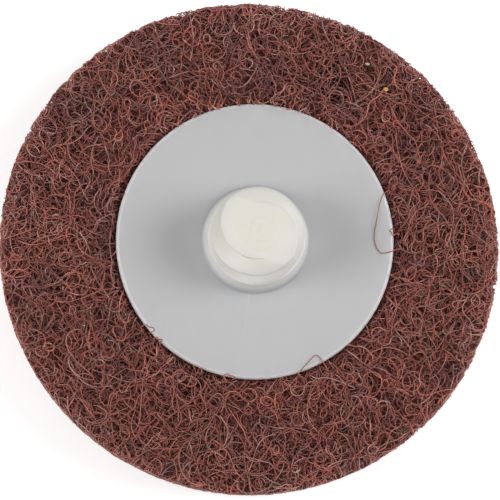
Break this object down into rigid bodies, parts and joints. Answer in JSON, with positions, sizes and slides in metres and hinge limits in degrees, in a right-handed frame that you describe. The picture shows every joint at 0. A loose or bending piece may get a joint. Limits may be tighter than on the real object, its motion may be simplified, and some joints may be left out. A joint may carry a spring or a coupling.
{
  "type": "surface conditioning disc",
  "caption": "Non-woven nylon abrasive disc with a woven scrim near its back and a moulded plastic drive button whose coarse threaded stub twists into a quick-change holder.",
  "frame": {"origin": "middle of the work face, the side that touches the work", "axes": "+Z from the work face through the disc and out along the threaded stub; +X and +Y across the disc"},
  "size_m": [0.0506, 0.0507, 0.0144],
  "materials": {
    "web_nylon": "maroon non-woven fibre, matt",
    "scrim_cloth": "open plain weave, matt",
    "button_nylon": "moulded off-white plastic, satin"
  },
  "bodies": {
    "root": {"abrasive_web": "web_nylon", "scrim": "scrim_cloth", "drive_button": "button_nylon"}
  },
  "joints": []
}
